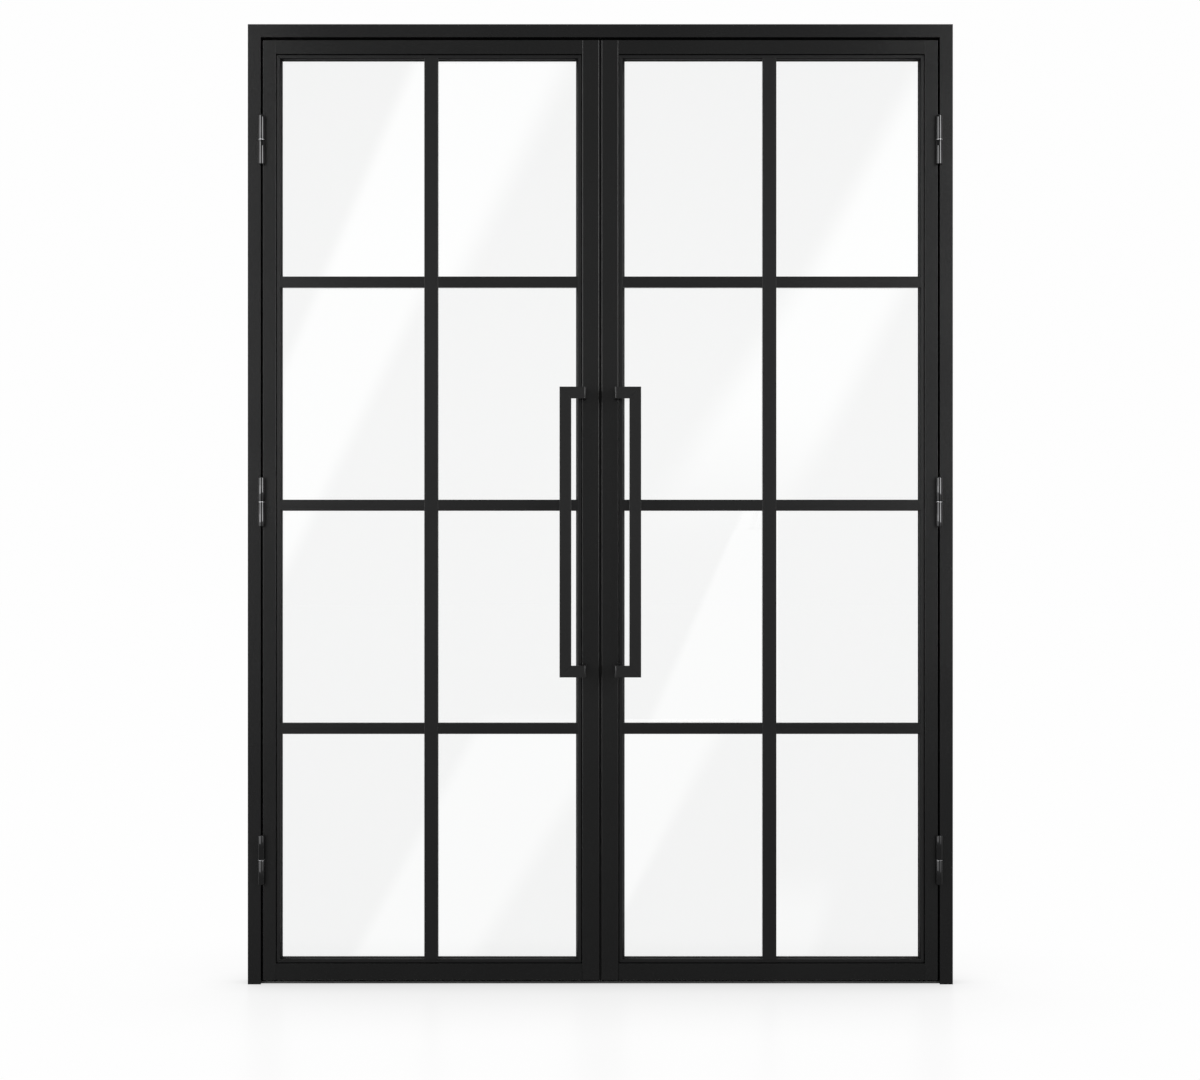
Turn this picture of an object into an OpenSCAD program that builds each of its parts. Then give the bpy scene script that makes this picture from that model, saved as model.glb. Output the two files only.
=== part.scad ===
// French doors: a pair of steel leaves with glazing bars, hung in their own frame.
// Millimetres. X runs along the opening, Y from front to back, Z up.
// The origin is the middle of the threshold's underside, midway through the frame's depth.

/* [Frame] */
// Overall width of the frame
frame_w = 1520; // [1200:1:2000]
// Overall height of the frame
frame_h = 2070; // [1750:1:2600]
// Depth of the frame, front to back
frame_d = 60; // [56:1:90]
// Width of the jambs and the head, seen from the front
jamb_face = 28; // [22:1:60]
// Wall thickness of the frame's steel profile
frame_wall = 2; // [1:0.5:3]
// Height of the threshold bar
threshold_h = 5.5; // [4:0.5:12]
// Setback of the threshold's front edge from the frame's front face
threshold_setback = 12; // [4:1:25]

/* [Gaps] */
// Gap between a leaf's hinge edge and its jamb
hinge_gap = 4.5; // [4:0.5:8]
// Gap between the two leaves
meeting_gap = 4; // [4:0.5:8]
// Gap between the leaves and the head
head_gap = 6.5; // [3:0.5:10]
// Gap between the leaves and the threshold
sill_gap = 4; // [3:0.5:8]
// Gap between a leaf's back and the stop, filled by the rubber seal
stop_gap = 3; // [2:0.5:6]
// Clearance left beside every seal that a leaf closes on
seal_clear = 0.3; // [0.2:0.1:1]

/* [Leaves] */
// Depth of a leaf, front to back
leaf_d = 40; // [38:1:50]
// Face width of the hinge stile
hinge_stile_w = 28; // [20:0.5:60]
// Face width of the meeting stile
meeting_stile_w = 37.5; // [32:0.5:70]
// Face height of the top rail
top_rail_h = 30; // [20:0.5:80]
// Face height of the bottom rail
bottom_rail_h = 35.5; // [24:0.5:120]
// Wall thickness of the leaf's steel profile
leaf_wall = 1.5; // [1:0.5:2.5]
// Width of the fixed lip behind the glass
lip_w = 8; // [6:0.5:20]
// Thickness of the fixed lip behind the glass
lip_d = 13; // [8:0.5:18]

/* [Glazing] */
// Thickness of the glass
glass_t = 8; // [6:0.5:10]
// Thickness of the gasket on each side of the glass
gasket_t = 3; // [2:0.5:4]
// Gap between the glass edge and the steel around it
glass_edge_gap = 3; // [2:0.5:5]
// Face width of the glazing beads
bead_w = 10.5; // [8:0.5:20]
// Width of the front gasket that shows between the beads and the daylight
gasket_show = 2.5; // [1:0.5:5]
// Setback of the beads from the leaf's front face
bead_setback = 3; // [1:0.5:5]
// Width of the flat land on the beads
bead_land = 8; // [5:0.5:9]
// Thickness of the beads' edge on the glass side
bead_edge_t = 7.5; // [2:0.5:9]
// Length of each setting block under the glass
block_len = 80; // [40:5:120]

/* [Glazing bars] */
// Face width of the vertical bar
muntin_w = 30; // [18:1:50]
// Face width of the horizontal bars
bar_w = 24; // [16:1:50]
// Face width of the vertical bar behind the glass
rear_muntin_w = 24; // [14:1:50]
// Face width of the horizontal bars behind the glass
rear_bar_w = 18; // [12:1:50]
// Setback of the vertical bar from the leaf's front and back faces
muntin_setback = 2; // [1:0.5:4]
// Setback of the horizontal bars from the leaf's front and back faces
bar_setback = 3; // [1:0.5:5]
// Centre-to-centre distance of the horizontal bars
bar_pitch = 481.5; // [300:0.5:520]
// Clear height of the lowest panes, below the lowest horizontal bar
bottom_pane_h = 481.5; // [200:0.5:600]

/* [Hinges] */
// Diameter of the hinge barrels
barrel_dia = 14; // [12:0.5:20]
// Length of a whole hinge
hinge_h = 106; // [70:1:160]
// Radius of the hinge pins
pin_r = 4; // [3:0.25:5]
// Running clearance around the pins
pin_clear = 0.05; // [0.02:0.01:0.1]
// Thickness of the thrust washers
washer_t = 1.5; // [1:0.25:3]
// Thickness of the tabs that are welded to the jambs and the stiles
tab_t = 1.75; // [1:0.25:2]
// How far the tabs reach back into the gap
tab_reach = 16; // [8:1:30]
// Bevel on the ends of the barrels
barrel_bevel = 1; // [0.25:0.25:2]
// Gap between the barrels and the frame's front face
barrel_clear = 0.3; // [0.3:0.1:1]
// Height of the bottom hinge's middle above the floor
bottom_hinge_z = 269; // [180:1:400]
// Height of the middle hinge's middle above the floor
middle_hinge_z = 1040; // [800:1:1300]
// Distance of the top hinge's middle below the frame's top
top_hinge_drop = 250; // [180:1:400]

/* [Handles] */
// Height of the pull handles
handle_h = 620; // [300:5:900]
// Height of the handles' middle above the floor
handle_z = 975; // [850:5:1150]
// Width of the handles' flat bar
handle_bar_w = 25; // [16:1:40]
// Thickness of the handles' flat bar
handle_bar_t = 8; // [6:0.5:12]
// Distance from the leaf's meeting edge to the handle's leg
handle_inset = 28.5; // [18:0.5:34]
// Overall width of a handle
handle_w = 56.5; // [45:0.5:120]
// Clear space between the leaf's face and the handle's grip
handle_clear = 50; // [35:1:80]
// Radius of the bend between a handle's arm and its leg
handle_bend_r = 4; // [2:0.5:6]
// Radius of the screws that hold a handle from behind, through the stile
screw_r = 2; // [1.5:0.25:2]
// Depth of the screws in the handle's legs
screw_depth = 14; // [8:1:25]
// Radius of the screws' heads
screw_head_r = 6; // [4:0.5:9]
// Thickness of the screws' heads
screw_head_t = 2; // [1:0.25:2.5]

/* [Fixings] */
// Radius of the fixing holes in the outer wall of the jambs
fixing_r = 4; // [3:0.5:6]
// Radius of the access holes in the inner wall of the jambs
access_r = 7; // [5:0.5:9]
// Height of the lowest fixing above the floor
fixing_first_z = 140; // [80:5:180]
// Number of fixings in each jamb
fixing_count = 4; // [2:1:6]
// Radius of the head magnets
magnet_r = 5; // [3:0.5:5]
// Length of the head magnets
magnet_len = 8; // [5:0.5:12]
// Distance from the middle of the frame to each head magnet
magnet_x = 60; // [40:5:120]

/* [Hidden] */
$fn = 48;

LEFT = -1;
RIGHT = 1;
FRAME_HALF = 0;
LEAF_HALF = 1;

// How far a cutting shape runs past what it cuts
cut = 1;

steel_black = [0.05, 0.05, 0.055];
bead_black = [0.07, 0.07, 0.075];
hinge_black = [0.1, 0.1, 0.1];
rubber_black = [0.03, 0.03, 0.03];
plain_steel = [0.6, 0.6, 0.62];
glass_tint = [0.85, 0.9, 0.9, 0.35];

// Depths, all measured along Y
front_y = -frame_d / 2;
back_y = frame_d / 2;
leaf_back_y = front_y + leaf_d;
stop_y = leaf_back_y + stop_gap;
glass_back_y = leaf_back_y - lip_d - gasket_t;
glass_front_y = glass_back_y - glass_t;
bead_back_y = glass_front_y - gasket_t;

// Widths and heights; the left leaf is drawn at negative X and mirrored for the right one
half_w = frame_w / 2;
jamb_x = half_w - jamb_face;
leaf_out_x = jamb_x - hinge_gap;
leaf_in_x = meeting_gap / 2;
leaf_mid_x = (leaf_out_x + leaf_in_x) / 2;
leaf_bottom_z = threshold_h + sill_gap;
leaf_top_z = frame_h - jamb_face - head_gap;
leaf_h = leaf_top_z - leaf_bottom_z;

// Daylight of a leaf: the steel's inner edges, seen from the front
light_out_x = leaf_out_x - hinge_stile_w;
light_in_x = leaf_in_x + meeting_stile_w;
light_w = light_out_x - light_in_x;
light_bottom_z = leaf_bottom_z + bottom_rail_h;
light_top_z = leaf_top_z - top_rail_h;
light_h = light_top_z - light_bottom_z;
sight_w = bead_w + gasket_show;
lower_bar_z = light_bottom_z + sight_w + bottom_pane_h + bar_w / 2;

// Hinge axis: in the middle of the gap, with the barrel just in front of the frame
hinge_x = jamb_x - hinge_gap / 2;
hinge_y = front_y - barrel_clear - barrel_dia / 2;
hinge_heights = [bottom_hinge_z, middle_hinge_z, frame_h - top_hinge_drop];
barrel_half = (hinge_h - washer_t) / 2;
barrel_cap = 5;
washer_clear = 0.05;
bore_end = barrel_half + washer_t / 2 - barrel_cap;
pin_end = bore_end - 1;

gasket_edge_gap = glass_edge_gap + 1;

// Handle: the leg's outer face, the grip's outer face, and the levels of the arms
leg_x = leaf_in_x + handle_inset;
grip_x = leg_x + handle_w;
handle_bottom_z = handle_z - handle_h / 2;
handle_top_z = handle_z + handle_h / 2;
screw_heights = [handle_bottom_z + handle_bar_w / 2, handle_top_z - handle_bar_w / 2];
screw_x = leg_x + handle_bar_t / 2;
screw_hole_clear = 0.25;

// Clearance of what is pressed or screwed in: the pins, the handle screws and the magnets
tight_clear = 0.02;

// The fixings lie halfway along the part of the jamb that the leaf's edge covers
fixing_y = (front_y + leaf_back_y) / 2;
fixing_pitch = (frame_h - 2 * fixing_first_z) / (fixing_count - 1);
fixing_heights = [for (i = [0 : fixing_count - 1]) fixing_first_z + i * fixing_pitch];

// Seals and magnets lie across the stop, at these distances from the frame's outer edge
seal_w = 6;
seal_margin = 1.5;
magnet_margin = 0.5;
meeting_clear = seal_clear + 0.1;
seal_in = jamb_face + max(hinge_gap, head_gap) + seal_margin;
magnet_in = seal_in + seal_w + magnet_margin + magnet_r;

// The stop behind the leaves is as wide as the seal and the magnets need
stop_w = magnet_in + magnet_r + magnet_margin + frame_wall - jamb_face;
mitre_reach = jamb_face + stop_w + cut;

// Shapes that repeat

// Draws its children on the left, or mirrored on the right
module on_side(side) {
    mirror([side == RIGHT ? 1 : 0, 0, 0]) children();
}

// A block given by its lowest and highest corner
module block(low, high) {
    translate(low) cube(high - low);
}

// Hollow section of the frame: u runs inwards from the outer edge, v backwards from the front
module frame_section(inset) {
    stop_v = stop_y - front_y;
    polygon([
        [inset, inset],
        [jamb_face - inset, inset],
        [jamb_face - inset, stop_v + inset],
        [jamb_face + stop_w - inset, stop_v + inset],
        [jamb_face + stop_w - inset, frame_d - inset],
        [inset, frame_d - inset]
    ]);
}

module frame_profile(length) {
    linear_extrude(length) difference() {
        frame_section(0);
        frame_section(frame_wall);
    }
}

// Hollow section of a stile or rail, with the lip behind the glass; a stile is capped at its top
module leaf_section(face, inset) {
    lip_v = leaf_d - lip_d;
    polygon([
        [inset, inset],
        [face - inset, inset],
        [face - inset, lip_v + inset],
        [face + lip_w - inset, lip_v + inset],
        [face + lip_w - inset, leaf_d - inset],
        [inset, leaf_d - inset]
    ]);
}

module leaf_profile(face, length, cap = 0) {
    difference() {
        linear_extrude(length) leaf_section(face, 0);
        translate([0, 0, -cut]) linear_extrude(length + (cap > 0 ? cut - cap : 2 * cut))
            leaf_section(face, leaf_wall);
    }
}

// Prism through the whole depth of the frame, at its top left corner, from an outline in X and Z
module corner_prism(outline) {
    translate([-half_w, back_y + cut, frame_h]) rotate([90, 0, 0])
        linear_extrude(frame_d + 2 * cut) polygon(outline);
}

// What the mitre takes off a jamb, and what it takes off the head
module above_mitre() {
    corner_prism([[-cut, cut], [mitre_reach, -mitre_reach], [mitre_reach, cut]]);
}

module below_mitre() {
    corner_prism([[-cut, cut], [-cut, -mitre_reach], [mitre_reach, -mitre_reach]]);
}

// A glazing bead along Z from its own mitred start to its mitred end, with u along X and v along Y
module bead_section() {
    first_v = bead_setback;
    last_v = bead_back_y - front_y;
    edge_v = last_v - bead_edge_t;
    polygon([[0, first_v], [bead_land, first_v], [bead_w, edge_v], [bead_w, last_v], [0, last_v]]);
}

module bead(length) {
    reach = bead_w + cut;
    difference() {
        linear_extrude(length) bead_section();
        for (end = [0, 1]) {
            translate([0, leaf_d, end * length]) mirror([0, 0, end])
                rotate([90, 0, 0]) linear_extrude(leaf_d)
                    polygon([[-cut, -cut], [reach, -cut], [reach, reach]]);
        }
    }
}

// Space that a front glazing bar leaves free at its end for the bead and the gasket under it
module bead_seat(length) {
    linear_extrude(length) {
        bead_section();
        translate([0, bead_back_y - front_y]) square([sight_w, gasket_t]);
    }
}

// Places a run whose outer edge lies along Z: on the hinge stile, the meeting stile, or the rails
module at_hinge_stile(x, z) {
    translate([-x, front_y, z]) children();
}

module at_meeting_stile(x, z) {
    translate([-x, front_y, z]) mirror([1, 0, 0]) children();
}

module at_bottom_rail(x, z) {
    translate([-x, front_y, z]) rotate([0, 90, 0]) mirror([1, 0, 0]) children();
}

module at_top_rail(x, z) {
    translate([-x, front_y, z]) rotate([0, 90, 0]) children();
}

// Frame

module frame_jamb(side) {
    color(steel_black) on_side(side) difference() {
        translate([-half_w, front_y, 0]) frame_profile(frame_h);
        above_mitre();
        for (z = fixing_heights) {
            translate([-half_w - cut, fixing_y, z]) rotate([0, 90, 0])
                cylinder(r = fixing_r, h = frame_wall + 2 * cut);
            translate([-jamb_x - frame_wall - cut, fixing_y, z]) rotate([0, 90, 0])
                cylinder(r = access_r, h = frame_wall + 2 * cut);
        }
    }
}

module frame_head() {
    color(steel_black) difference() {
        translate([-half_w, front_y, frame_h]) rotate([0, 90, 0]) frame_profile(frame_w);
        for (side = [LEFT, RIGHT]) {
            on_side(side) below_mitre();
            on_side(side) magnet_at(magnet_r + tight_clear, stop_y - cut, frame_wall + 2 * cut);
        }
    }
}

module magnet_at(radius, y, length) {
    translate([-magnet_x, y, frame_h - magnet_in]) rotate([-90, 0, 0])
        cylinder(r = radius, h = length);
}

module threshold() {
    color(steel_black) difference() {
        block([-jamb_x, front_y + threshold_setback, 0], [jamb_x, back_y, threshold_h]);
        for (side = [LEFT, RIGHT]) {
            on_side(side)
                block(
                    [-jamb_x - cut, stop_y, -cut],
                    [-jamb_x + stop_w, back_y + cut, threshold_h + cut]
                );
        }
    }
}

module stop_seal() {
    front = leaf_back_y + seal_clear;
    head_z = frame_h - seal_in - seal_w;
    color(rubber_black) {
        for (side = [LEFT, RIGHT]) {
            on_side(side) block(
                [-half_w + seal_in, front, threshold_h],
                [-half_w + seal_in + seal_w, stop_y, head_z]
            );
        }
        block([-half_w + seal_in, front, head_z], [half_w - seal_in, stop_y, head_z + seal_w]);
    }
}

module head_magnets() {
    front = leaf_back_y + seal_clear;
    color(plain_steel)
        for (side = [LEFT, RIGHT]) on_side(side) magnet_at(magnet_r, front, magnet_len);
}

// Hinges

// Barrel half along Z from 0 to its length, with a bevelled outer end
module barrel(length) {
    r = barrel_dia / 2;
    rotate_extrude() polygon([
        [0, 0], [r, 0], [r, length - barrel_bevel], [r - barrel_bevel, length], [0, length]
    ]);
}

// One half of each hinge: barrel and weld tab, bored for the pin from its inner end. The frame's
// half is below and grips the pin; the leaf's half is above and turns on it.
module knuckles(side, half) {
    on_leaf = half == LEAF_HALF;
    gap = on_leaf ? washer_clear : 0;
    bore_r = pin_r + (on_leaf ? pin_clear : tight_clear);
    start = washer_t / 2 + gap;
    length = barrel_half - gap;
    tab_x = on_leaf ? hinge_gap / 2 - tab_t : -hinge_gap / 2;
    color(hinge_black) on_side(side) for (z = hinge_heights) {
        translate([-hinge_x, hinge_y, z]) mirror([0, 0, on_leaf ? 0 : 1])
            translate([0, 0, start]) difference() {
                union() {
                    barrel(length);
                    block(
                        [tab_x, 0, barrel_bevel],
                        [tab_x + tab_t, front_y - hinge_y + tab_reach, length - barrel_bevel]
                    );
                }
                translate([0, 0, -cut]) cylinder(r = bore_r, h = bore_end - start + cut);
            }
    }
}

module hinge_pins(side) {
    color(plain_steel) on_side(side) for (z = hinge_heights) {
        translate([-hinge_x, hinge_y, z - pin_end]) cylinder(r = pin_r, h = 2 * pin_end);
    }
}

module hinge_washers(side) {
    color(plain_steel) on_side(side) for (z = hinge_heights) {
        translate([-hinge_x, hinge_y, z - washer_t / 2]) difference() {
            cylinder(r = barrel_dia / 2, h = washer_t);
            translate([0, 0, -cut]) cylinder(r = pin_r + pin_clear, h = washer_t + 2 * cut);
        }
    }
}

// Leaf frame

module hinge_stile(side) {
    color(steel_black) on_side(side)
        at_hinge_stile(leaf_out_x, leaf_bottom_z) leaf_profile(hinge_stile_w, leaf_h, leaf_wall);
}

module meeting_stile(side) {
    color(steel_black) on_side(side) difference() {
        at_meeting_stile(leaf_in_x, leaf_bottom_z)
            leaf_profile(meeting_stile_w, leaf_h, leaf_wall);
        for (z = screw_heights) {
            translate([-screw_x, front_y - cut, z]) rotate([-90, 0, 0])
                cylinder(r = screw_r + screw_hole_clear, h = leaf_d + 2 * cut);
        }
    }
}

// Space that the stiles' lips take from the ends of a rail
module rail_copes() {
    lip_y = leaf_back_y - lip_d;
    block(
        [-light_out_x - cut, lip_y, leaf_bottom_z - cut],
        [-light_out_x + lip_w, leaf_back_y + cut, leaf_top_z + cut]
    );
    block(
        [-light_in_x - lip_w, lip_y, leaf_bottom_z - cut],
        [-light_in_x + cut, leaf_back_y + cut, leaf_top_z + cut]
    );
}

module top_rail(side) {
    color(steel_black) on_side(side) difference() {
        at_top_rail(light_out_x, leaf_top_z) leaf_profile(top_rail_h, light_w);
        rail_copes();
    }
}

module bottom_rail(side) {
    color(steel_black) on_side(side) difference() {
        at_bottom_rail(light_out_x, leaf_bottom_z) leaf_profile(bottom_rail_h, light_w);
        rail_copes();
    }
}

// Glazing

module hinge_side_bead(side) {
    color(bead_black) on_side(side) at_hinge_stile(light_out_x, light_bottom_z) bead(light_h);
}

module meeting_side_bead(side) {
    color(bead_black) on_side(side) at_meeting_stile(light_in_x, light_bottom_z) bead(light_h);
}

module top_bead(side) {
    color(bead_black) on_side(side) at_top_rail(light_out_x, light_top_z) bead(light_w);
}

module bottom_bead(side) {
    color(bead_black) on_side(side) at_bottom_rail(light_out_x, light_bottom_z) bead(light_w);
}

// A block over the daylight, grown inwards by an edge distance, between two depths
module pane_block(edge, y0, y1) {
    block(
        [-light_out_x + edge, y0, light_bottom_z + edge],
        [-light_in_x - edge, y1, light_top_z - edge]
    );
}

module glass(side) {
    color(glass_tint) on_side(side) pane_block(glass_edge_gap, glass_front_y, glass_back_y);
}

module glass_gaskets(side) {
    color(rubber_black) on_side(side)
        for (strip = [[bead_back_y, sight_w], [glass_back_y, lip_w]]) {
            y = strip[0];
            difference() {
                pane_block(gasket_edge_gap, y, y + gasket_t);
                pane_block(strip[1], y - cut, y + gasket_t + cut);
            }
        }
}

module setting_blocks(side) {
    quarter = light_w / 4;
    color(rubber_black) on_side(side)
        for (x = [light_in_x + quarter, light_out_x - quarter]) {
            block(
                [-x - block_len / 2, glass_front_y, light_bottom_z],
                [-x + block_len / 2, glass_back_y, light_bottom_z + glass_edge_gap]
            );
        }
}

// Glazing bars, bonded to both faces of the glass

module front_muntin(side) {
    color(bead_black) on_side(side) difference() {
        block(
            [-leaf_mid_x - muntin_w / 2, front_y + muntin_setback, light_bottom_z + bead_land],
            [-leaf_mid_x + muntin_w / 2, glass_front_y, light_top_z - bead_land]
        );
        at_top_rail(light_out_x, light_top_z) bead_seat(light_w);
        at_bottom_rail(light_out_x, light_bottom_z) bead_seat(light_w);
    }
}

module rear_muntin(side) {
    color(bead_black) on_side(side) block(
        [-leaf_mid_x - rear_muntin_w / 2, glass_back_y, light_bottom_z + lip_w],
        [-leaf_mid_x + rear_muntin_w / 2, leaf_back_y - muntin_setback, light_top_z - lip_w]
    );
}

// One row of horizontal bars: two in front and two behind, on either side of the vertical bar
module row_of_bars(side, row) {
    z = lower_bar_z + row * bar_pitch;
    color(bead_black) on_side(side) {
        difference() {
            bar_pair(z, bar_w, muntin_w, bead_land, front_y + bar_setback, glass_front_y);
            at_hinge_stile(light_out_x, light_bottom_z) bead_seat(light_h);
            at_meeting_stile(light_in_x, light_bottom_z) bead_seat(light_h);
        }
        bar_pair(z, rear_bar_w, rear_muntin_w, lip_w, glass_back_y, leaf_back_y - bar_setback);
    }
}

module bar_pair(z, height, middle_w, edge, y0, y1) {
    low = z - height / 2;
    high = z + height / 2;
    block([-light_out_x + edge, y0, low], [-leaf_mid_x - middle_w / 2, y1, high]);
    block([-leaf_mid_x + middle_w / 2, y0, low], [-light_in_x - edge, y1, high]);
}

// Handles

// Arm and leg in plan, with v running away from the leaf's face
module arm_plan() {
    v_top = handle_clear + handle_bar_t;
    difference() {
        union() {
            translate([-grip_x, handle_clear]) square([handle_w, handle_bar_t]);
            translate([-leg_x - handle_bar_t, 0]) square([handle_bar_t, v_top]);
        }
        translate([-leg_x - handle_bend_r, v_top - handle_bend_r])
            square(handle_bend_r + cut);
    }
    translate([-leg_x - handle_bend_r, v_top - handle_bend_r]) circle(r = handle_bend_r);
}

module handle_shape() {
    for (z = [handle_bottom_z, handle_top_z - handle_bar_w]) {
        translate([0, 0, z]) linear_extrude(handle_bar_w) arm_plan();
    }
    block(
        [-grip_x, handle_clear, handle_bottom_z],
        [-grip_x + handle_bar_w, handle_clear + handle_bar_t, handle_top_z]
    );
}

module pull_handle(side) {
    color(steel_black) on_side(side) translate([0, front_y, 0]) mirror([0, 1, 0])
        difference() {
            handle_shape();
            for (z = screw_heights) {
                translate([-screw_x, -cut, z]) rotate([-90, 0, 0])
                    cylinder(r = screw_r + tight_clear, h = screw_depth + cut);
            }
        }
}

module handle_screws(side) {
    color(plain_steel) on_side(side) for (z = screw_heights) {
        translate([-screw_x, front_y - screw_depth, z]) rotate([-90, 0, 0])
            cylinder(r = screw_r, h = screw_depth + leaf_d);
        translate([-screw_x, leaf_back_y, z]) rotate([-90, 0, 0])
            cylinder(r = screw_head_r, h = screw_head_t);
    }
}

// Edge seals

module meeting_seal(side) {
    setback = 6;
    depth = 3;
    color(rubber_black) on_side(side) block(
        [-leaf_in_x, front_y + setback, leaf_bottom_z],
        [-meeting_clear / 2, front_y + setback + depth, leaf_top_z]
    );
}

module bottom_sweep(side) {
    inset = 2;
    setback = 8;
    depth = 5;
    color(rubber_black) on_side(side) block(
        [-leaf_out_x + inset, leaf_back_y - setback - depth, threshold_h + seal_clear],
        [-leaf_in_x - inset, leaf_back_y - setback, leaf_bottom_z]
    );
}

frame_head();
frame_jamb(LEFT);  // frame_jamb_left
frame_jamb(RIGHT);  // frame_jamb_right
threshold();
stop_seal();
head_magnets();
knuckles(LEFT, FRAME_HALF);  // left_frame_knuckles
hinge_pins(LEFT);  // left_hinge_pins
hinge_washers(LEFT);  // left_hinge_washers
knuckles(RIGHT, FRAME_HALF);  // right_frame_knuckles
hinge_pins(RIGHT);  // right_hinge_pins
hinge_washers(RIGHT);  // right_hinge_washers
hinge_stile(LEFT);  // left_hinge_stile
meeting_stile(LEFT);  // left_meeting_stile
top_rail(LEFT);  // left_top_rail
bottom_rail(LEFT);  // left_bottom_rail
hinge_side_bead(LEFT);  // left_hinge_side_bead
meeting_side_bead(LEFT);  // left_meeting_side_bead
top_bead(LEFT);  // left_top_bead
bottom_bead(LEFT);  // left_bottom_bead
glass(LEFT);  // left_glass
glass_gaskets(LEFT);  // left_glass_gaskets
setting_blocks(LEFT);  // left_setting_blocks
front_muntin(LEFT);  // left_front_muntin
rear_muntin(LEFT);  // left_rear_muntin
row_of_bars(LEFT, 2);  // left_upper_bars
row_of_bars(LEFT, 1);  // left_middle_bars
row_of_bars(LEFT, 0);  // left_lower_bars
pull_handle(LEFT);  // left_pull_handle
handle_screws(LEFT);  // left_handle_screws
knuckles(LEFT, LEAF_HALF);  // left_leaf_knuckles
meeting_seal(LEFT);  // left_meeting_seal
bottom_sweep(LEFT);  // left_bottom_sweep
hinge_stile(RIGHT);  // right_hinge_stile
meeting_stile(RIGHT);  // right_meeting_stile
top_rail(RIGHT);  // right_top_rail
bottom_rail(RIGHT);  // right_bottom_rail
hinge_side_bead(RIGHT);  // right_hinge_side_bead
meeting_side_bead(RIGHT);  // right_meeting_side_bead
top_bead(RIGHT);  // right_top_bead
bottom_bead(RIGHT);  // right_bottom_bead
glass(RIGHT);  // right_glass
glass_gaskets(RIGHT);  // right_glass_gaskets
setting_blocks(RIGHT);  // right_setting_blocks
front_muntin(RIGHT);  // right_front_muntin
rear_muntin(RIGHT);  // right_rear_muntin
row_of_bars(RIGHT, 2);  // right_upper_bars
row_of_bars(RIGHT, 1);  // right_middle_bars
row_of_bars(RIGHT, 0);  // right_lower_bars
pull_handle(RIGHT);  // right_pull_handle
handle_screws(RIGHT);  // right_handle_screws
knuckles(RIGHT, LEAF_HALF);  // right_leaf_knuckles
meeting_seal(RIGHT);  // right_meeting_seal
bottom_sweep(RIGHT);  // right_bottom_sweep
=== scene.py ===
import math

import bmesh
import bpy
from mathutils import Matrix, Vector


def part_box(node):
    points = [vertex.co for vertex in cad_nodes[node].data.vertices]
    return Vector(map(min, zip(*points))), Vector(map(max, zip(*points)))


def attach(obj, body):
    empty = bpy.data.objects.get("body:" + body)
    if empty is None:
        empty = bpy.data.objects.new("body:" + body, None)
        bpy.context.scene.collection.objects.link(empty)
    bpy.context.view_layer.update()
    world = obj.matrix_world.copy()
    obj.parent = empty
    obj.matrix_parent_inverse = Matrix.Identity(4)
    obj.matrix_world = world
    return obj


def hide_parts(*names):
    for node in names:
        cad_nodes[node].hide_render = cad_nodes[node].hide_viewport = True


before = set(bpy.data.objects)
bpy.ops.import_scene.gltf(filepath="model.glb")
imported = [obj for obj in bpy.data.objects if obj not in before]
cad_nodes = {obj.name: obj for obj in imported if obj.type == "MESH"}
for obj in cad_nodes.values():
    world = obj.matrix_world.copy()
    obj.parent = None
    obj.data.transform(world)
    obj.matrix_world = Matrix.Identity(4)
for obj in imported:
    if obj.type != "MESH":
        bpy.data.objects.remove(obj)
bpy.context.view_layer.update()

X, Y, Z = 0, 1, 2
MM = 0.001

# Fineness of the work
SAME_POINT = 0.002 * MM  # points closer than this are one point
SAW_FIT = 0.001 * MM  # how near to a cut a point counts as lying on it
SAME_LEVEL = 0.02 * MM
FLAT_ANGLE = math.radians(0.5)  # sides that meet at less than this are one side
CORNER_ANGLE = math.radians(40)  # edges sharper than this are corners to work on
CREASE_ANGLE = math.radians(35)  # edges sharper than this stay crisp
NARROW_FACE = 1.5 * MM  # faces narrower than this are part of a rounding
HOLE_REACH = 5 * MM  # points of one hole lie no further apart than this
STRAIGHT = 0.999  # how much of a direction lies along an axis, when it is taken to run along it
SQUARE_ON = 0.9999  # the same, for a side that is kept flat
END_ON = 0.6  # the same, for the faces at the end of a run, mitred ones too
RELIEF = 0.2 * MM  # depth of the finest marks in a finish

# Radii of corners and chamfers of end rims, in millimetres
ROLLED_STEEL = 0.6
HINGE_STILE_CORNER = 0.8
MEETING_CORNER = 2.2  # front corners of the meeting stiles, which catch the light
FRAME_JOINT = 0.6
RAIL_JOINT = 0.5
STILE_JOINT = 0.3
SILL_CORNER = 0.8
BAR_CORNER = 0.7
MUNTIN_JOINT = 0.3
BAR_JOINT = 0.4
BEAD_GROOVE = 1.8  # shadow line between a bead and the steel beside it
BEAD_CORNER = 0.3
BEAD_JOINT = 0.5
HANDLE_CORNER = 0.5
BARREL_RIM = 0.4
SMALL_RIM = 0.2  # hinge pins and washers
SCREW_RIM = 0.5
MAGNET_RIM = 0.5
FRAME_SEAL_CORNER = 1.2
GASKET_CORNER = 0.7
BLOCK_CORNER = 0.6
SWEEP_CORNER = 0.8
GLASS_CORNER = 0.6

# Seals, measured from the middle of the doorway or from the foot of a strip
STRIP_TIP = 1 * MM
STRIP_FOOT = 1 * MM
SWEEP_TIP = 5 * MM
SWEEP_END = 1.2 * MM  # where each door sweep ends


# Finishes

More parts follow.
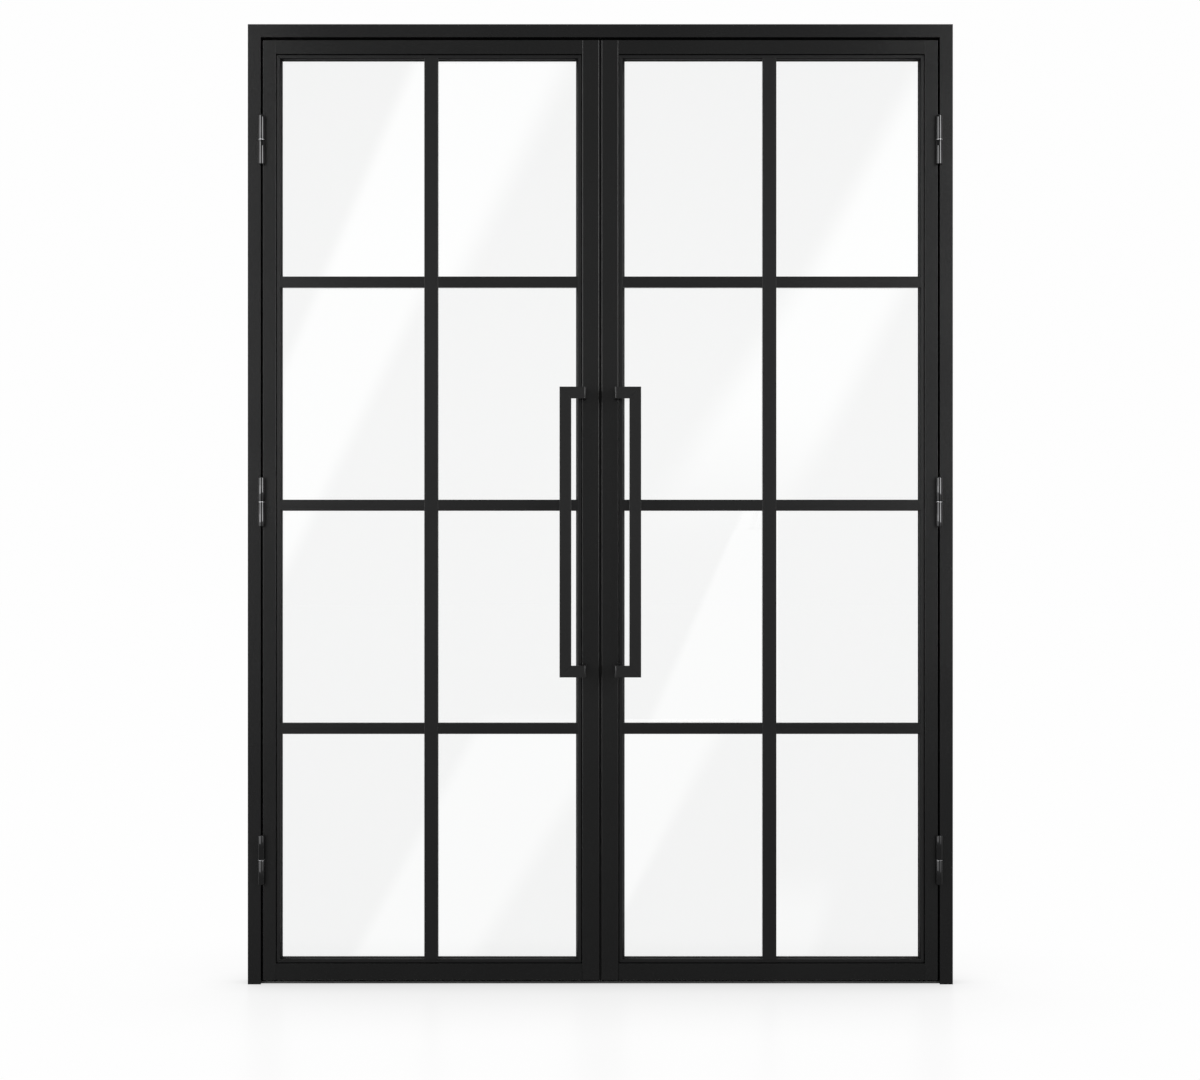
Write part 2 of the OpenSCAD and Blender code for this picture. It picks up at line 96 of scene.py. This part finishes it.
class Signal:
    """A number on its way through a finish. Sums and products of signals add Math nodes."""

    def __init__(self, finish, socket):
        self.finish = finish
        self.socket = socket

    def maths(self, operation, *values):
        return self.finish.node("Math", {"operation": operation}, dict(enumerate(values)))

    def __add__(self, other):
        return self.maths("ADD", self, other)

    __radd__ = __add__

    def __mul__(self, other):
        return self.maths("MULTIPLY", self, other)

    __rmul__ = __mul__

    def __sub__(self, other):
        return self.maths("SUBTRACT", self, other)

    def __rsub__(self, other):
        return self.maths("SUBTRACT", other, self)

    def __pow__(self, other):
        return self.maths("POWER", self, other)


class Finish:
    """The nodes of one material, or of the room's light."""

    def __init__(self, tree):
        tree.nodes.clear()
        self.tree = tree

    def node(self, kind, settings=None, values=None, out=0):
        """One node of a kind: its settings first, then the values or links of its sockets."""
        made = self.tree.nodes.new("ShaderNode" + kind)
        for name, value in (settings or {}).items():
            setattr(made, name, value)
        for name, value in (values or {}).items():
            if isinstance(value, Signal):
                self.tree.links.new(value.socket, made.inputs[name])
            else:
                made.inputs[name].default_value = value
        return Signal(self, made.outputs[out] if len(made.outputs) else None)

    def place(self, scale=(1, 1, 1)):
        """Where a point of the piece lies, stretched by a scale."""
        spot = self.node("TexCoord", out="Object")
        return self.node("Mapping", {}, {"Vector": spot, "Scale": scale})

    def noise(self, scale, detail=2, stretch=(1, 1, 1)):
        values = {"Vector": self.place(stretch), "Scale": scale, "Detail": detail}
        return self.node("TexNoise", {}, values)

    def between(self, low, high, share):
        """A colour between two others."""
        values = {0: share, 6: (*low, 1), 7: (*high, 1)}
        return self.node("Mix", {"data_type": "RGBA"}, values, out=2)

    def spread(self, low, high, share):
        """A number between two others."""
        return share * (high - low) + low

    def bump(self, height, strength, depth):
        return self.node("Bump", {}, {"Height": height, "Strength": strength, "Distance": depth})

    def shade(self, shader, output="OutputMaterial"):
        self.node(output, {}, {"Surface": shader})


def material(name):
    made = bpy.data.materials.new(name)
    made.use_nodes = True
    return made, Finish(made.node_tree)


def powder_coat(name, dark, light, rough, peel):
    """Black polyester powder: an even satin skin with fine orange peel and a few cloudy patches."""
    made, f = material(name)
    clouds = f.noise(3.5, 3)
    peel_marks = f.noise(900, 3)
    specks = f.noise(2600, 1)
    values = {
        "Base Color": f.between(dark, light, clouds),
        "Roughness": f.spread(rough - 0.05, rough + 0.05, clouds) + specks * 0.04,
        "Normal": f.bump(peel_marks, peel, RELIEF),
    }
    f.shade(f.node("BsdfPrincipled", {}, values))
    return made


def drawn_metal(name, dark, light, rough, stretch, metallic, grain=1):
    """Extruded or drawn metal: fine lines along its length, deeper with more grain."""
    made, f = material(name)
    lines = f.noise(1, 4, stretch)
    clouds = f.noise(5, 2)
    rough_lines = f.spread(rough - 0.06 * grain, rough + 0.08 * grain, lines)
    values = {
        "Base Color": f.between(dark, light, lines),
        "Roughness": rough_lines + clouds * (0.05 * grain),
        "Metallic": metallic,
        "Normal": f.bump(lines, 0.12 * grain, RELIEF),
    }
    f.shade(f.node("BsdfPrincipled", {}, values))
    return made


def rubber_finish(name):
    """Black rubber with a dull bloom and fine pores."""
    made, f = material(name)
    bloom = f.noise(40, 4)
    pores = f.noise(1800, 2)
    values = {
        "Base Color": f.between((0.004, 0.004, 0.004), (0.009, 0.009, 0.0088), bloom),
        "Roughness": f.spread(0.62, 0.8, bloom),
        "Normal": f.bump(pores, 0.3, RELIEF),
    }
    f.shade(f.node("BsdfPrincipled", {}, values))
    return made


def glass_finish(name):
    """Clear toughened glass: a faint grey that shows what is behind it, with a clean mirror on top."""
    made, f = material(name)
    film = f.noise(1.6, 3)
    facing = f.node("LayerWeight", {}, {"Blend": 0.5}, out="Facing")
    mirrored = facing ** 5 * 0.9 + 0.042 + film * 0.004
    clear = f.node("BsdfTransparent", {}, {"Color": (0.9855, 0.9875, 0.9865, 1)})
    mirror = f.node("BsdfGlossy", {}, {"Color": (1, 1, 1, 1), "Roughness": 0.0})
    f.shade(f.node("MixShader", {}, {0: mirrored, 1: clear, 2: mirror}))
    return made


# The frame, the sill, the rails and the stiles wear one black powder coat; the copies below differ in
# tone only as painted light and shade.
FRAME_COAT = powder_coat("frame_coat", (0.0040, 0.0040, 0.0042), (0.0062, 0.0062, 0.0064), 0.25, 0.06)
# The sill coat is the same black powder coat painted much lighter, with wide light patches: a painted
# highlight along the sill's front.
SILL_COAT_PAINTED_HIGHLIGHT = powder_coat("sill_coat_painted_highlight", (0.0100, 0.0100, 0.0101), (0.1150, 0.1150, 0.1140), 0.33, 0.08)
# The rail coat is the stile coat painted darker: painted shade.
RAIL_COAT_PAINTED_SHADE = powder_coat("rail_coat_painted_shade", (0.0034, 0.0035, 0.0035), (0.0054, 0.0055, 0.0055), 0.25, 0.06)
STILE_COAT = powder_coat("stile_coat", (0.0044, 0.0045, 0.0045), (0.0066, 0.0067, 0.0067), 0.25, 0.06)
HANDLE_COAT = powder_coat("handle_coat", (0.0080, 0.0080, 0.0081), (0.0110, 0.0110, 0.0110), 0.28, 0.05)
BEAD_UPRIGHT = drawn_metal(
    "bead_upright", (0.0040, 0.0040, 0.0042), (0.0066, 0.0066, 0.0068), 0.30, (900, 900, 3), 0.0)
BEAD_LEVEL = drawn_metal(
    "bead_level", (0.0036, 0.0036, 0.0038), (0.0060, 0.0060, 0.0062), 0.28, (3, 900, 900), 0.0)
HINGE_BLACK = drawn_metal(
    "hinge_black", (0.072, 0.072, 0.073), (0.092, 0.092, 0.093), 0.03, (60, 60, 900), 1.0, 0.3)
BARE_STEEL = drawn_metal(
    "bare_steel", (0.42, 0.42, 0.43), (0.58, 0.58, 0.59), 0.30, (200, 200, 900), 1.0)
MAGNET_PLATE = drawn_metal(
    "magnet_plate", (0.60, 0.60, 0.59), (0.72, 0.71, 0.69), 0.20, (300, 300, 300), 1.0)
RUBBER = rubber_finish("black_rubber")
GLASS = glass_finish("clear_glass")


# Ways of working

def hole_levels(shape, axis):
    """The levels along an axis of the middles of the holes bored across a profile."""
    bored = [face for face in shape.faces if max(abs(part) for part in face.normal) < STRAIGHT]
    spots = sorted(vert.co[axis] for face in bored for vert in face.verts)
    groups = []
    for spot in spots:
        if groups and spot - groups[-1][-1] < HOLE_REACH:
            groups[-1].append(spot)
        else:
            groups.append([spot])
    return [(group[0] + group[-1]) / 2 for group in groups]


def bench_copy(node, bored_along=None):
    """A CAD node as a clean mesh: corners merged, each flat side one face.

    A profile that is bored along an axis has its sides divided through the middle of each hole,
    so that no side goes round a hole and its long corners stay clear."""
    shape = bmesh.new()
    shape.from_mesh(cad_nodes[node].data)
    bmesh.ops.remove_doubles(shape, verts=shape.verts, dist=SAME_POINT)
    levels = [] if bored_along is None else hole_levels(shape, bored_along)
    for level in levels:
        facing = Vector([axis == bored_along for axis in (X, Y, Z)])
        whole = shape.verts[:] + shape.edges[:] + shape.faces[:]
        cut = bmesh.ops.bisect_plane(
            shape, geom=whole, dist=SAW_FIT, plane_co=facing * level, plane_no=facing)
        for item in cut["geom_cut"]:
            if isinstance(item, bmesh.types.BMEdge):
                item.seam = True
    bmesh.ops.dissolve_limit(
        shape, angle_limit=FLAT_ANGLE, verts=shape.verts, edges=shape.edges, delimit={"SEAM"})
    return shape


def corner_edges(shape, *tests):
    """The outward corners of a shape that pass every test."""
    found = []
    for edge in shape.edges:
        if len(edge.link_faces) == 2 and edge.calc_face_angle_signed() > CORNER_ANGLE:
            if all(test(edge) for test in tests):
                found.append(edge)
    return found


def along(axis):
    """Tells the edges that run along an axis."""
    def test(edge):
        run = (edge.verts[1].co - edge.verts[0].co).normalized()
        return abs(run[axis]) > STRAIGHT
    return test


def end_rim(axis):
    """Tells the edges round the ends of a run along an axis."""
    def test(edge):
        ends = [abs(face.normal[axis]) > END_ON for face in edge.link_faces]
        return ends.count(True) == 1
    return test


def at_level(axis, level):
    """Tells the edges that lie at one level of an axis."""
    def test(edge):
        middle = (edge.verts[0].co + edge.verts[1].co) / 2
        return abs(middle[axis] - level) < SAME_LEVEL
    return test


def round_off(shape, edges, radius, segments):
    """Rounds corners with a radius in millimetres; one segment leaves a flat chamfer."""
    bmesh.ops.bevel(
        shape, geom=edges, offset=radius * MM, offset_type="OFFSET", segments=segments,
        profile=0.5, affect="EDGES", material=-1, clamp_overlap=True)


def finished(name, body, shape, coat, node):
    """Makes a shape into the piece that stands for a node: broad sides flat, roundings smooth."""
    bmesh.ops.dissolve_degenerate(shape, dist=SAME_POINT, edges=shape.edges)
    for face in shape.faces:
        square_on = max(abs(part) for part in face.normal) > SQUARE_ON
        width = 2 * face.calc_area() / face.calc_perimeter()
        face.smooth = not square_on or width < NARROW_FACE
    for edge in shape.edges:
        edge.smooth = edge.calc_face_angle(0) < CREASE_ANGLE
    mesh = bpy.data.meshes.new(name)
    shape.to_mesh(mesh)
    shape.free()
    packed_normals = mesh.attributes.get("custom_normal")
    if packed_normals:
        mesh.attributes.remove(packed_normals)
    mesh.materials.append(coat)
    made = bpy.data.objects.new(name, mesh)
    bpy.context.scene.collection.objects.link(made)
    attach(made, body)
    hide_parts(node)


def rolled_run(name, body, node, axis, radius, joint, coat, bored=False):
    """A run of profile along an axis: its long corners rounded, the rims of its ends eased."""
    shape = bench_copy(node, axis if bored else None)
    round_off(shape, corner_edges(shape, along(axis)), radius, 3)
    if joint:
        round_off(shape, corner_edges(shape, end_rim(axis)), joint, 1)
    finished(name, body, shape, coat, node)


# Frame

for name, node, axis in (
        ("head", "frame_head", X),
        ("left_jamb", "frame_jamb_left", Z),
        ("right_jamb", "frame_jamb_right", Z)):
    rolled_run(name, "frame", node, axis, ROLLED_STEEL, FRAME_JOINT, FRAME_COAT)
rolled_run("sill_bar", "frame", "threshold", X, SILL_CORNER, 0, SILL_COAT_PAINTED_HIGHLIGHT)
rolled_run("frame_seal", "frame", "stop_seal", Z, FRAME_SEAL_CORNER, 0, RUBBER)

catches = bench_copy("head_magnets")
round_off(catches, corner_edges(catches, end_rim(Y)), MAGNET_RIM, 3)
finished("magnet_catches", "frame", catches, MAGNET_PLATE, "head_magnets")


# Leaves

def leaf_steel(side):
    """The two rails and two stiles of a leaf."""
    body = side + "_leaf"
    for part in ("top_rail", "bottom_rail"):
        rolled_run(
            f"{side}_{part}_steel", body, f"{side}_{part}", X, ROLLED_STEEL, RAIL_JOINT,
            RAIL_COAT_PAINTED_SHADE)
    rolled_run(
        f"{side}_hinge_stile_steel", body, f"{side}_hinge_stile", Z, HINGE_STILE_CORNER,
        STILE_JOINT, STILE_COAT, bored=True)
    node = f"{side}_meeting_stile"
    stile = bench_copy(node, Z)
    face_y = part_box(node)[0].y
    round_off(stile, corner_edges(stile, along(Z), at_level(Y, face_y)), MEETING_CORNER, 5)
    round_off(stile, corner_edges(stile, along(Z)), ROLLED_STEEL, 3)
    round_off(stile, corner_edges(stile, end_rim(Z)), STILE_JOINT, 1)
    finished(f"{side}_meeting_stile_steel", body, stile, STILE_COAT, node)


def glazing_bead(side, part, axis, coat):
    """A bead with a shadow groove along the steel beside it, mitred at the corners."""
    node = f"{side}_{part}"
    shape = bench_copy(node)
    across = X if axis == Z else Z
    low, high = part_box(node)
    pane_low, pane_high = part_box(f"{side}_glass")
    centre = (pane_low[across] + pane_high[across]) / 2
    outer = max(low[across], high[across], key=lambda level: abs(level - centre))
    groove = corner_edges(shape, along(axis), at_level(Y, low.y), at_level(across, outer))
    round_off(shape, groove, BEAD_GROOVE, 1)
    round_off(shape, corner_edges(shape, along(axis)), BEAD_CORNER, 3)
    round_off(shape, corner_edges(shape, end_rim(axis)), BEAD_JOINT, 1)
    finished(node + "_run", side + "_leaf", shape, coat, node)


def glazing(side):
    """The beads, the bars on both faces, the glass and what holds it."""
    body = side + "_leaf"
    for part in ("hinge_side_bead", "meeting_side_bead"):
        glazing_bead(side, part, Z, BEAD_UPRIGHT)
    for part in ("top_bead", "bottom_bead"):
        glazing_bead(side, part, X, BEAD_LEVEL)
    for part in ("front_muntin", "rear_muntin"):
        rolled_run(
            f"{side}_{part}_run", body, f"{side}_{part}", Z, BAR_CORNER, MUNTIN_JOINT,
            BEAD_UPRIGHT)
    for part in ("upper_bars", "middle_bars", "lower_bars"):
        rolled_run(
            f"{side}_{part}_run", body, f"{side}_{part}", X, BAR_CORNER, BAR_JOINT,
            BEAD_LEVEL)
    rolled_run(
        f"{side}_glass_seals", body, f"{side}_glass_gaskets", Z, GASKET_CORNER, 0,
        RUBBER)
    rolled_run(
        f"{side}_glass_blocks", body, f"{side}_setting_blocks", X, BLOCK_CORNER, 0,
        RUBBER)
    rolled_run(f"{side}_pane", body, f"{side}_glass", Z, GLASS_CORNER, 0, GLASS)


def edge_seals(side):
    """The two strips at the meeting stiles touch each other when the leaves are shut.

    They reach down as far as the sweeps do, and the sweeps run on behind them, so no light comes
    through below the leaves."""
    body = side + "_leaf"
    node = f"{side}_meeting_seal"
    strip = bench_copy(node)
    tips = [vert for vert in strip.verts if abs(vert.co.x) < STRIP_TIP]
    bmesh.ops.translate(strip, verts=tips, vec=(-tips[0].co.x, 0, 0))
    end_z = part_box(node)[0].z
    feet = [vert for vert in strip.verts if vert.co.z < end_z + STRIP_FOOT]
    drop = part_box(f"{side}_bottom_sweep")[0].z - end_z
    bmesh.ops.translate(strip, verts=feet, vec=(0, 0, drop))
    finished(f"{side}_edge_strip", body, strip, RUBBER, node)
    node = f"{side}_bottom_sweep"
    sweep = bench_copy(node)
    inner = [vert for vert in sweep.verts if abs(vert.co.x) < SWEEP_TIP]
    old_x = inner[0].co.x
    bmesh.ops.translate(sweep, verts=inner, vec=(math.copysign(SWEEP_END, old_x) - old_x, 0, 0))
    round_off(sweep, corner_edges(sweep, along(X)), SWEEP_CORNER, 3)
    finished(f"{side}_door_sweep", body, sweep, RUBBER, node)


def saw(shape, spot, facing):
    """Cuts a shape through a spot, takes away what lies on the facing side and closes the cut."""
    whole = shape.verts[:] + shape.edges[:] + shape.faces[:]
    cut = bmesh.ops.bisect_plane(
        shape, geom=whole, dist=SAW_FIT, plane_co=spot, plane_no=facing, clear_outer=True)
    rims = [item for item in cut["geom_cut"] if isinstance(item, bmesh.types.BMEdge)]
    bmesh.ops.holes_fill(shape, edges=rims)


def pull_handle(side):
    """A grip and two arms of flat bar, mitred at their corners and eased all round."""
    node = f"{side}_pull_handle"
    low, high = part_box(node)
    away = -1 if side == "left" else 1
    grip_x = low.x if side == "left" else high.x
    corners = ((high.z, 1), (low.z, -1))
    grip = bench_copy(node)
    for level, up in corners:
        saw(grip, (grip_x, 0, level), (-away, 0, up))
    pieces = [grip]
    for level, up in corners:
        arm = bench_copy(node)
        saw(arm, (grip_x, 0, level), (away, 0, -up))
        pieces.append(arm)
    whole = bmesh.new()
    for piece in pieces:
        round_off(piece, corner_edges(piece), HANDLE_CORNER, 3)
        part = bpy.data.meshes.new("part")
        piece.to_mesh(part)
        piece.free()
        whole.from_mesh(part)
        bpy.data.meshes.remove(part)
    finished(node + "_bar", side + "_leaf", whole, HANDLE_COAT, node)


def handle_screws(side):
    """The two screws that hold a handle, seen from the other side of the leaf."""
    node = f"{side}_handle_screws"
    shape = bench_copy(node)
    round_off(shape, corner_edges(shape, end_rim(Y)), SCREW_RIM, 3)
    finished(node + "_set", side + "_leaf", shape, BARE_STEEL, node)


def hinges(side):
    """The barrels: lower knuckles, pins and washers on the frame, upper knuckles on the leaf."""
    for body, node in (
            ("frame", f"{side}_frame_knuckles"),
            (f"{side}_leaf", f"{side}_leaf_knuckles")):
        shape = bench_copy(node)
        round_off(shape, corner_edges(shape, end_rim(Z)), BARREL_RIM, 3)
        finished(node + "_turned", body, shape, HINGE_BLACK, node)
    for part in ("pins", "washers"):
        node = f"{side}_hinge_{part}"
        shape = bench_copy(node)
        round_off(shape, corner_edges(shape, end_rim(Z)), SMALL_RIM, 1)
        finished(node + "_turned", "frame", shape, BARE_STEEL, node)


for side in ("left", "right"):
    leaf_steel(side)
    glazing(side)
    edge_seals(side)
    pull_handle(side)
    handle_screws(side)
    hinges(side)


# Room

FLOOR_RADIUS = 30
# The two soft shadings are painted shade: ambient occlusion darkens the glowing floor near what stands
# on it.
FLOOR_OPEN, FLOOR_WIDE, FLOOR_CLOSE = 0.571, 0.22, 0.20  # brightness: base, and two soft shadings
WIDE_REACH, CLOSE_REACH = 0.6, 0.12  # how far the two shadings reach, in metres
FLOOR_SHEEN = 0.04
ROOM_DIM, ROOM_GLOW, ROOM_WALL = 0.17, 0.24, 0.79
GLOW_HEIGHT, GLOW_REACH = 0.05, 0.24
EYE_X, EYE_Y, EYE_HEIGHT = -0.0007, -5.06, 0.958
CARD_Y = -6.0
CARD_SPREAD = 2.187  # how much larger a card is than the band it makes on the glass


def stage_mesh(name, shape, look):
    """Makes a shape part of the room, not of the doors."""
    mesh = bpy.data.meshes.new(name)
    shape.to_mesh(mesh)
    shape.free()
    mesh.materials.append(look)
    made = bpy.data.objects.new(name, mesh)
    bpy.context.scene.collection.objects.link(made)
    return made


def pale_floor():
    """White paper floor with a faint sheen, and painted shade from ambient occlusion that darkens it a
    little close to what stands on it.
    """
    made, f = material("pale_floor")
    seen = f.node("LightPath", out="Is Camera Ray")
    wide = f.node("AmbientOcclusion", {"samples": 16}, {"Distance": WIDE_REACH}, out="AO")
    close = f.node("AmbientOcclusion", {"samples": 16}, {"Distance": CLOSE_REACH}, out="AO")
    level = wide * FLOOR_WIDE + close * FLOOR_CLOSE + FLOOR_OPEN
    paper = f.node("Emission", {}, {"Color": level, "Strength": 1.0})
    sheen = f.node("BsdfGlossy", {}, {"Color": (1, 1, 1, 1), "Roughness": 0.30})
    shown = f.node("MixShader", {}, {0: FLOOR_SHEEN, 1: paper, 2: sheen})
    dull = f.node("BsdfDiffuse", {}, {"Color": (0.4, 0.4, 0.4, 1)})
    f.shade(f.node("MixShader", {}, {0: seen, 1: dull, 2: shown}))
    return made


floor_shape = bmesh.new()
bmesh.ops.create_circle(floor_shape, cap_ends=True, radius=FLOOR_RADIUS, segments=96)
floor = stage_mesh("floor", floor_shape, pale_floor())
floor.visible_glossy = False


def room_light():
    """A white wall behind the doors, a dim room in front of them, a little brighter at eye level."""
    world = bpy.data.worlds.new("room")
    bpy.context.scene.world = world
    world.use_nodes = True
    f = Finish(world.node_tree)
    way = f.node("TexCoord", out="Generated")
    height = f.node("SeparateXYZ", {}, {0: way}, out="Z")
    depth = f.node("SeparateXYZ", {}, {0: way}, out="Y")
    off_level = f.node("Math", {"operation": "ABSOLUTE"}, {0: height - GLOW_HEIGHT})
    eased = {"interpolation_type": "SMOOTHSTEP"}
    glow = f.node("MapRange", eased, {0: off_level, 1: GLOW_REACH, 2: 0.0})
    wall = f.node("MapRange", eased, {0: depth, 1: 0.0, 2: 0.5})
    level = ROOM_DIM + glow * ROOM_GLOW + wall * ROOM_WALL
    dim = f.node("Background", {}, {"Color": level, "Strength": 1.0})
    white = f.node("Background", {}, {"Color": (0.99, 0.99, 0.99, 1), "Strength": 1.0})
    seen = f.node("LightPath", out="Is Camera Ray")
    both = f.node("MixShader", {}, {0: seen, 1: dim, 2: white})
    f.shade(both, "OutputWorld")


def softbox(name, place, aim, width, height, power):
    """A large soft lamp, unseen itself, aimed at a spot."""
    light = bpy.data.lights.new(name, "AREA")
    light.shape = "RECTANGLE"
    light.size = width
    light.size_y = height
    light.energy = power
    made = bpy.data.objects.new(name, light)
    bpy.context.scene.collection.objects.link(made)
    made.location = place
    made.rotation_euler = (Vector(aim) - Vector(place)).to_track_quat("-Z", "Y").to_euler()
    made.visible_camera = False


def reflected_card(name, corners, fades, level):
    """A tilted glow behind the camera that the glass mirrors as a soft slanting band.

    The corners are where it shows on the glass, in metres: lower left, lower right, upper right,
    upper left. The fades are shares of its width and height: left, right, lower, upper."""
    made, f = material(name)
    glow = f.node("LightPath", out="Is Singular Ray") * level
    spot = f.node("UVMap")
    for way, fade, far_fade in (("X", fades[0], fades[1]), ("Y", fades[2], fades[3])):
        share = f.node("SeparateXYZ", {}, {0: spot}, out=way)
        for start, end in ((0, fade), (1, 1 - far_fade)):
            if start != end:
                span = {0: share, 1: start, 2: end}
                glow = f.node("MapRange", {"interpolation_type": "SMOOTHSTEP"}, span) * glow
    lit = f.node("Emission", {}, {"Color": glow, "Strength": 1.0})
    clear = f.node("BsdfTransparent", {}, {"Color": (1, 1, 1, 1)})
    f.shade(f.node("AddShader", {}, {0: lit, 1: clear}))
    shape = bmesh.new()
    layer = shape.loops.layers.uv.new("UVMap")
    places = [
        (x * CARD_SPREAD, CARD_Y, EYE_HEIGHT + (z - EYE_HEIGHT) * CARD_SPREAD) for x, z in corners]
    face = shape.faces.new([shape.verts.new(place) for place in places])
    for loop, share in zip(face.loops, ((0, 0), (1, 0), (1, 1), (0, 1))):
        loop[layer].uv = share
    bmesh.ops.subdivide_edges(shape, edges=shape.edges[:], cuts=7, use_grid_fill=True)
    card = stage_mesh(name, shape, made)
    card.visible_camera = False
    card.visible_diffuse = False
    card.visible_shadow = False
    card.visible_transmission = False


room_light()
for name, place, aim, width, height, power in (
        ("front_left", (-2.5, -2.6, 1.9), (0, 0, 1.2), 1.9, 2.4, 58),
        ("front_right", (2.5, -2.6, 1.9), (0, 0, 1.2), 1.9, 2.4, 62),
        ("low_left", (-2.6, -2.2, 0.6), (-0.5, 0, 0.6), 1.2, 1.2, 12),
        ("low_right", (2.6, -2.2, 0.6), (0.5, 0, 0.6), 1.2, 1.2, 3),
        ("overhead", (0, 0.2, 4.0), (0, 0.2, 0), 3.5, 3.5, 12)):
    softbox(name, place, aim, width, height, power)

for name, corners, fades, level in (
        ("band_first_left", [(-0.623, 1.52), (-0.261, 1.52), (-0.015, 2.0), (-0.423, 2.0)],
         (0.12, 0.25, 0, 0), 0.96),
        ("band_second_left", [(-0.899, 0.86), (-0.672, 0.86), (-0.339, 1.52), (-0.623, 1.52)],
         (0.15, 0.22, 0, 0), 0.82),
        ("band_fourth_left", [(-0.557, 0.05), (-0.241, 0.05), (0.10, 0.60), (-0.262, 0.60)],
         (0.13, 0.22, 0, 0.15), 0.69),
        ("band_first_right", [(0.407, 1.52), (0.72, 1.52), (0.98, 2.0), (0.663, 2.0)],
         (0.25, 0, 0, 0), 0.96),
        ("band_second_right", [(-0.02, 0.90), (0.39, 0.90), (0.705, 1.52), (0.388, 1.52)],
         (0.30, 0.25, 0.6, 0), 0.86),
        ("band_third_right", [(0.089, 0.56), (0.385, 0.56), (0.385, 1.04), (0.311, 1.04)],
         (0.12, 0, 0, 0), 0.69),
        ("band_fourth_right", [(-0.05, 0.05), (0.0, 0.05), (0.308, 0.57), (0.02, 0.57)],
         (0, 0.25, 0, 0), 0.69),
        ("band_corner_right", [(0.36, 0.05), (0.48, 0.05), (0.56, 0.27), (0.36, 0.27)],
         (0, 0.4, 0, 0.6), 0.46)):
    reflected_card(name, corners, fades, level)

camera_data = bpy.data.cameras.new("camera")
camera_data.lens = 70
camera_data.sensor_width = 36
camera = bpy.data.objects.new("camera", camera_data)
bpy.context.scene.collection.objects.link(camera)
camera.location = (EYE_X, EYE_Y, EYE_HEIGHT)
camera.rotation_euler = (math.radians(90), 0, 0)
bpy.context.scene.camera = camera
bpy.context.scene.view_settings.view_transform = "Standard"
